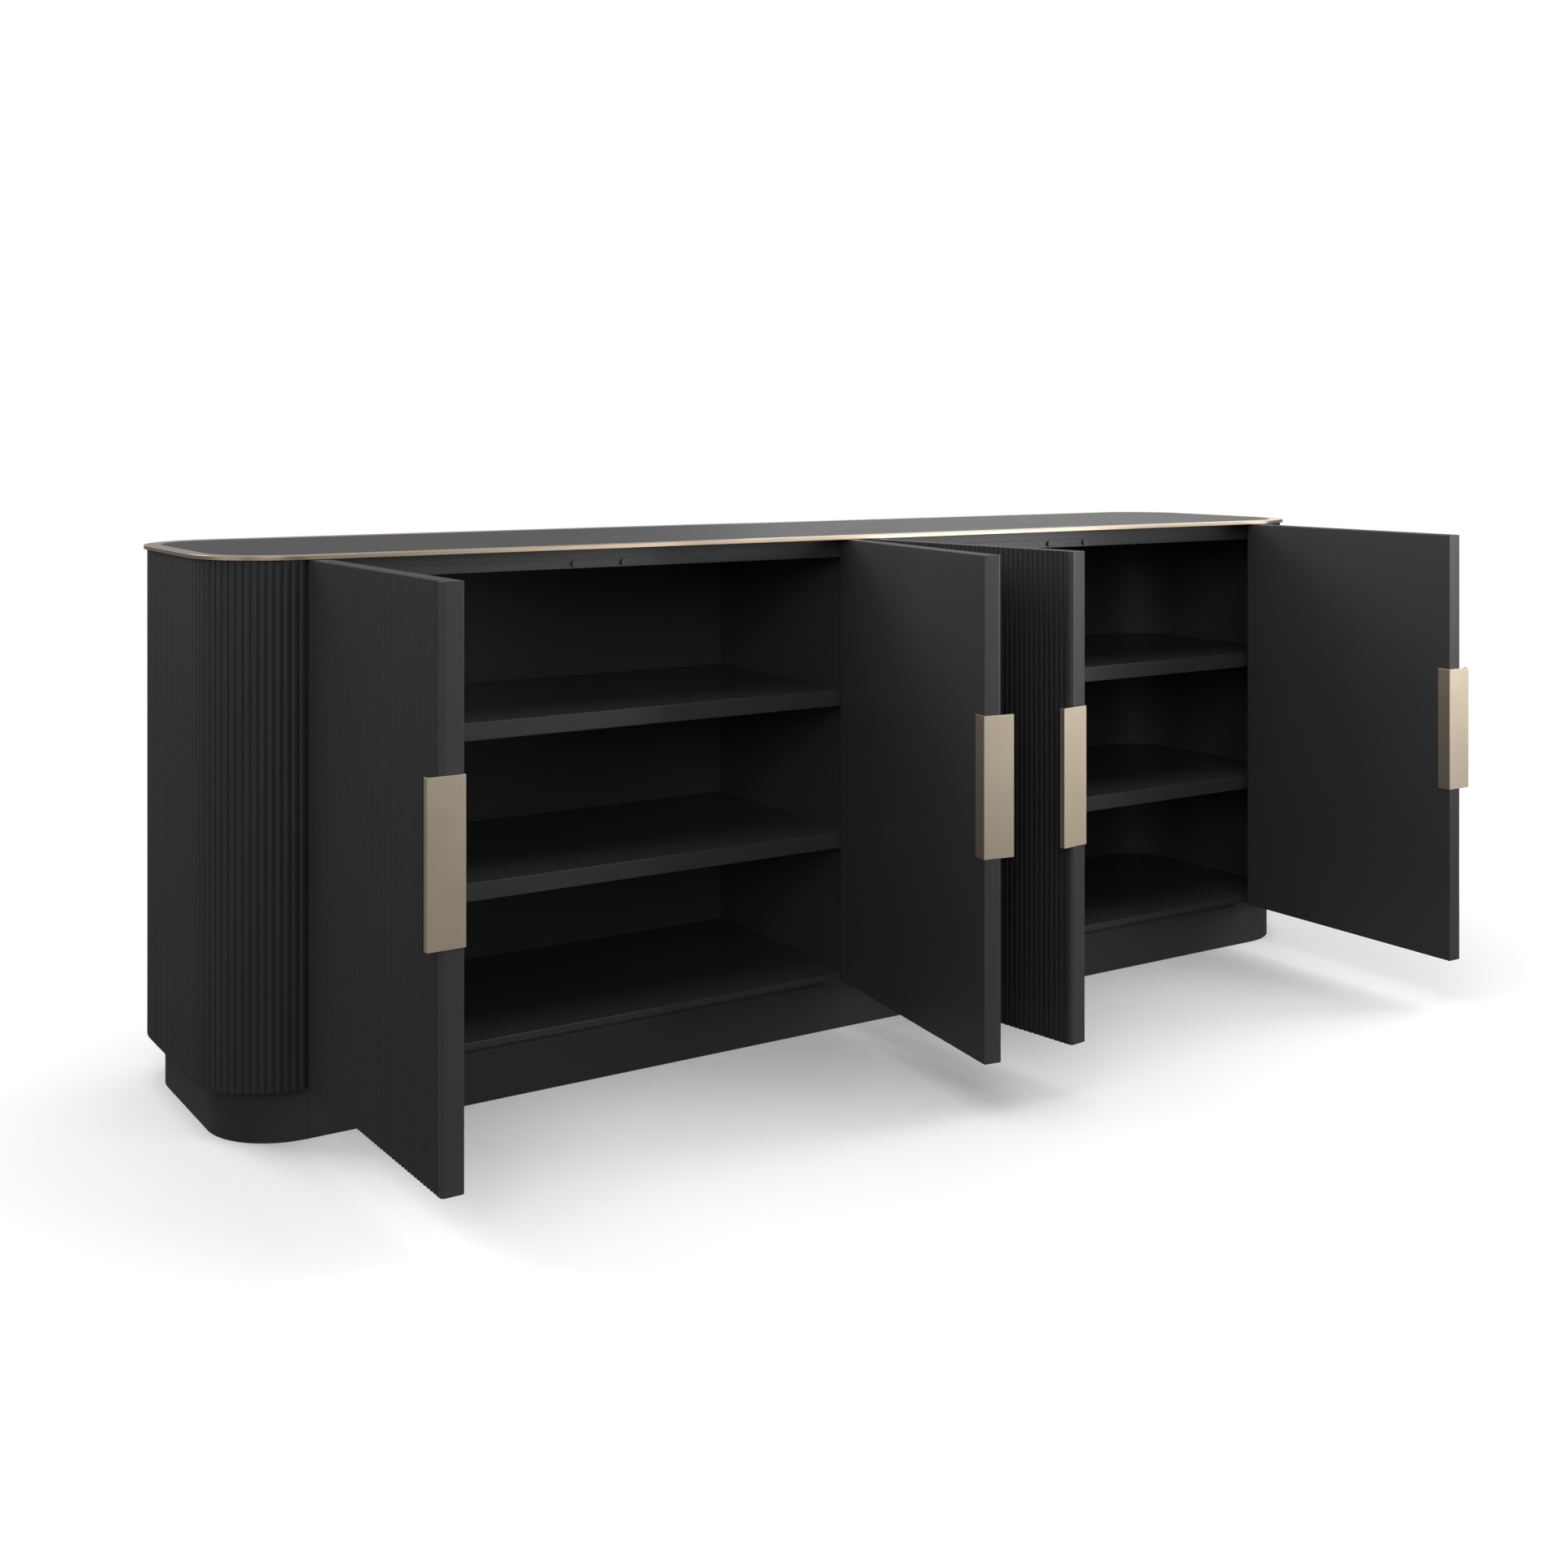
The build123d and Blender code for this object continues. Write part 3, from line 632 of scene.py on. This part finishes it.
def make_door(joint):
    """A door's reeded facing, its panel and its pull, all riding on its hinge."""
    name = joint["child"]
    low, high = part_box(f"{name}_reeding")
    outline = door_outline(f"{name}_reeding", joint)
    mesh = upright_mesh(f"{name}_reeds", outline, low.z, high.z, REED_ARRIS)
    add_piece(f"{name}_reeds", mesh, name, f"{name}_reeding")
    pivot = door_axes(joint)[0]
    mesh = softened_mesh(f"{name}_slab", PANEL_ARRIS, pivot)
    add_piece(f"{name}_panel", mesh, name, f"{name}_slab")
    mesh = softened_mesh(f"{name}_pull", PULL_ARRIS)
    add_piece(f"{name}_handle", mesh, name, f"{name}_pull")


# ------------------------------------------------------------------ carcass and plinth
def make_boards():
    for node in BOARDS:
        add_piece(f"{node}_board", softened_mesh(node, PANEL_ARRIS), "root", node)


def finish_cad_nodes():
    """CAD nodes get the material of their slot, and the end shells a duller one inside."""
    for node, piece in frame["nodes"].items():
        inside = node.startswith("end_shell")
        for holder in piece.material_slots:
            holder.material = INTERIOR if inside else MATERIALS[SLOTS[node]]


# ------------------------------------------------------------------ camera, floor and light
def make_camera():
    """Level camera at the left of the front; a downward shift keeps uprights upright."""
    data = bpy.data.cameras.new("camera")
    data.sensor_width = CAMERA_SENSOR
    data.lens = CAMERA_LENS
    data.shift_y = CAMERA_SHIFT
    camera = bpy.data.objects.new("camera", data)
    camera.location = CAMERA_PLACE
    camera.rotation_euler = (QUARTER_TURN, 0.0, math.radians(CAMERA_TURN))
    bpy.context.scene.collection.objects.link(camera)
    bpy.context.scene.camera = camera


def white_glow(nodes):
    glow = nodes.new("ShaderNodeEmission")
    glow.inputs["Strength"].default_value = WHITE_GLOW
    return glow.outputs[0]


def add_stage(name, mesh, material):
    """Adds a part of the studio that gives the object neither light nor reflections."""
    mesh.materials.append(material)
    stage = bpy.data.objects.new(name, mesh)
    bpy.context.scene.collection.objects.link(stage)
    stage.visible_diffuse = False
    stage.visible_glossy = False
    return stage


def make_floor():
    """White paper that takes the shadows near the object and fades to plain white farther out."""
    mesh = bpy.data.meshes.new("floor")
    signs = ((-1, -1), (1, -1), (1, 1), (-1, 1))
    corners = [(x * FLOOR_HALF, y * FLOOR_HALF, 0.0) for x, y in signs]
    mesh.from_pydata(corners, [], [(0, 1, 2, 3)])
    material, tree, shader = new_material("floor_paper")
    shader.inputs["Base Color"].default_value = (*PAPER, 1.0)
    shader.inputs["Roughness"].default_value = PAPER_ROUGHNESS
    shader.inputs["Specular IOR Level"].default_value = 0.0
    place = tree.nodes.new("ShaderNodeTexCoord")
    distance = tree.nodes.new("ShaderNodeVectorMath")
    distance.operation = "LENGTH"
    tree.links.new(place.outputs["Object"], distance.inputs[0])
    blend = tree.nodes.new("ShaderNodeMixShader")
    fade = ranged(tree, distance.outputs["Value"], 0.0, 1.0, FLOOR_FADE)
    tree.links.new(fade, blend.inputs[0])
    tree.links.new(shader.outputs[0], blend.inputs[1])
    tree.links.new(white_glow(tree.nodes), blend.inputs[2])
    tree.links.new(blend.outputs[0], tree.nodes["Material Output"].inputs["Surface"])
    add_stage("floor", mesh, material)


def make_backdrop():
    """White dome round the studio, there only to be seen behind the object."""
    shape = bmesh.new()
    bmesh.ops.create_icosphere(shape, subdivisions=DOME_SUBDIVISIONS, radius=DOME_RADIUS)
    mesh = bpy.data.meshes.new("backdrop")
    shape.to_mesh(mesh)
    shape.free()
    material, tree, _ = new_material("backdrop_white")
    tree.links.new(white_glow(tree.nodes), tree.nodes["Material Output"].inputs["Surface"])
    backdrop = add_stage("backdrop", mesh, material)
    backdrop.visible_transmission = False
    backdrop.visible_shadow = False


def make_world():
    """Studio walls brightest just above the horizon, a dimmer ceiling and a dark lower half."""
    world = bpy.data.worlds.new("studio")
    world.use_nodes = True
    nodes = world.node_tree.nodes
    links = world.node_tree.links
    place = nodes.new("ShaderNodeTexCoord")
    split = nodes.new("ShaderNodeSeparateXYZ")
    halve = nodes.new("ShaderNodeMath")
    halve.operation = "MULTIPLY_ADD"
    halve.inputs[1].default_value = 0.5
    halve.inputs[2].default_value = 0.5
    ramp = nodes.new("ShaderNodeValToRGB")
    links.new(place.outputs["Generated"], split.inputs[0])
    links.new(split.outputs["Z"], halve.inputs[0])
    links.new(halve.outputs[0], ramp.inputs["Fac"])
    stops = ramp.color_ramp
    stops.elements[0].position = WALL_LEVELS[0][0]
    stops.elements[-1].position = WALL_LEVELS[-1][0]
    for position, _ in WALL_LEVELS[1:-1]:
        stops.elements.new(position)
    for stop, (_, level) in zip(stops.elements, WALL_LEVELS):
        stop.color = (level, level, level, 1.0)
    links.new(ramp.outputs["Color"], nodes["Background"].inputs["Color"])
    nodes["Background"].inputs["Strength"].default_value = 1.0
    bpy.context.scene.world = world


def make_light(name, place, target, size, watts):
    """A large rectangular soft light aimed at a point."""
    data = bpy.data.lights.new(name, "AREA")
    data.shape = "RECTANGLE"
    data.size, data.size_y = size
    data.energy = watts
    lamp = bpy.data.objects.new(name, data)
    lamp.location = place
    lamp.rotation_euler = (Vector(target) - Vector(place)).to_track_quat("-Z", "Y").to_euler()
    lamp.visible_camera = False
    bpy.context.scene.collection.objects.link(lamp)


def make_lights():
    make_light("overhead", (0.0, -0.4, 3.4), target=(0.0, 0.0, 0.0), size=(4.0, 3.0), watts=71.0)
    make_light("front_right", (4.0, -5.1, 1.55), target=(0.2, -0.3, 0.7), size=(3.2, 3.1), watts=168.0)
    make_light("front_left", (-4.0, -5.5, 3.0), target=(0.0, 0.0, 0.3), size=(4.0, 3.0), watts=141.0)
    make_light("left", (-6.0, -1.0, 2.4), target=(-0.6, 0.0, 0.3), size=(4.0, 4.0), watts=50.0)
    make_light("right", (5.5, -1.5, 4.0), target=(0.4, -0.3, 0.3), size=(3.0, 3.0), watts=153.0)
    make_light("back_left", (-4.0, 4.0, 4.0), target=(-0.3, 0.0, 0.3), size=(4.0, 3.0), watts=243.0)
    make_light("back_right", (5.5, 5.5, 2.6), target=(0.0, 0.0, 0.6), size=(4.0, 4.0), watts=55.0)


bpy.context.scene.view_settings.view_transform = "Standard"
make_camera()
make_floor()
make_world()
make_backdrop()
make_lights()
finish_cad_nodes()
make_rim()
make_inset()
make_end_reeding(-1, "left")
make_end_reeding(1, "right")
for joint in frame["joints"]:
    make_door(joint)
make_boards()
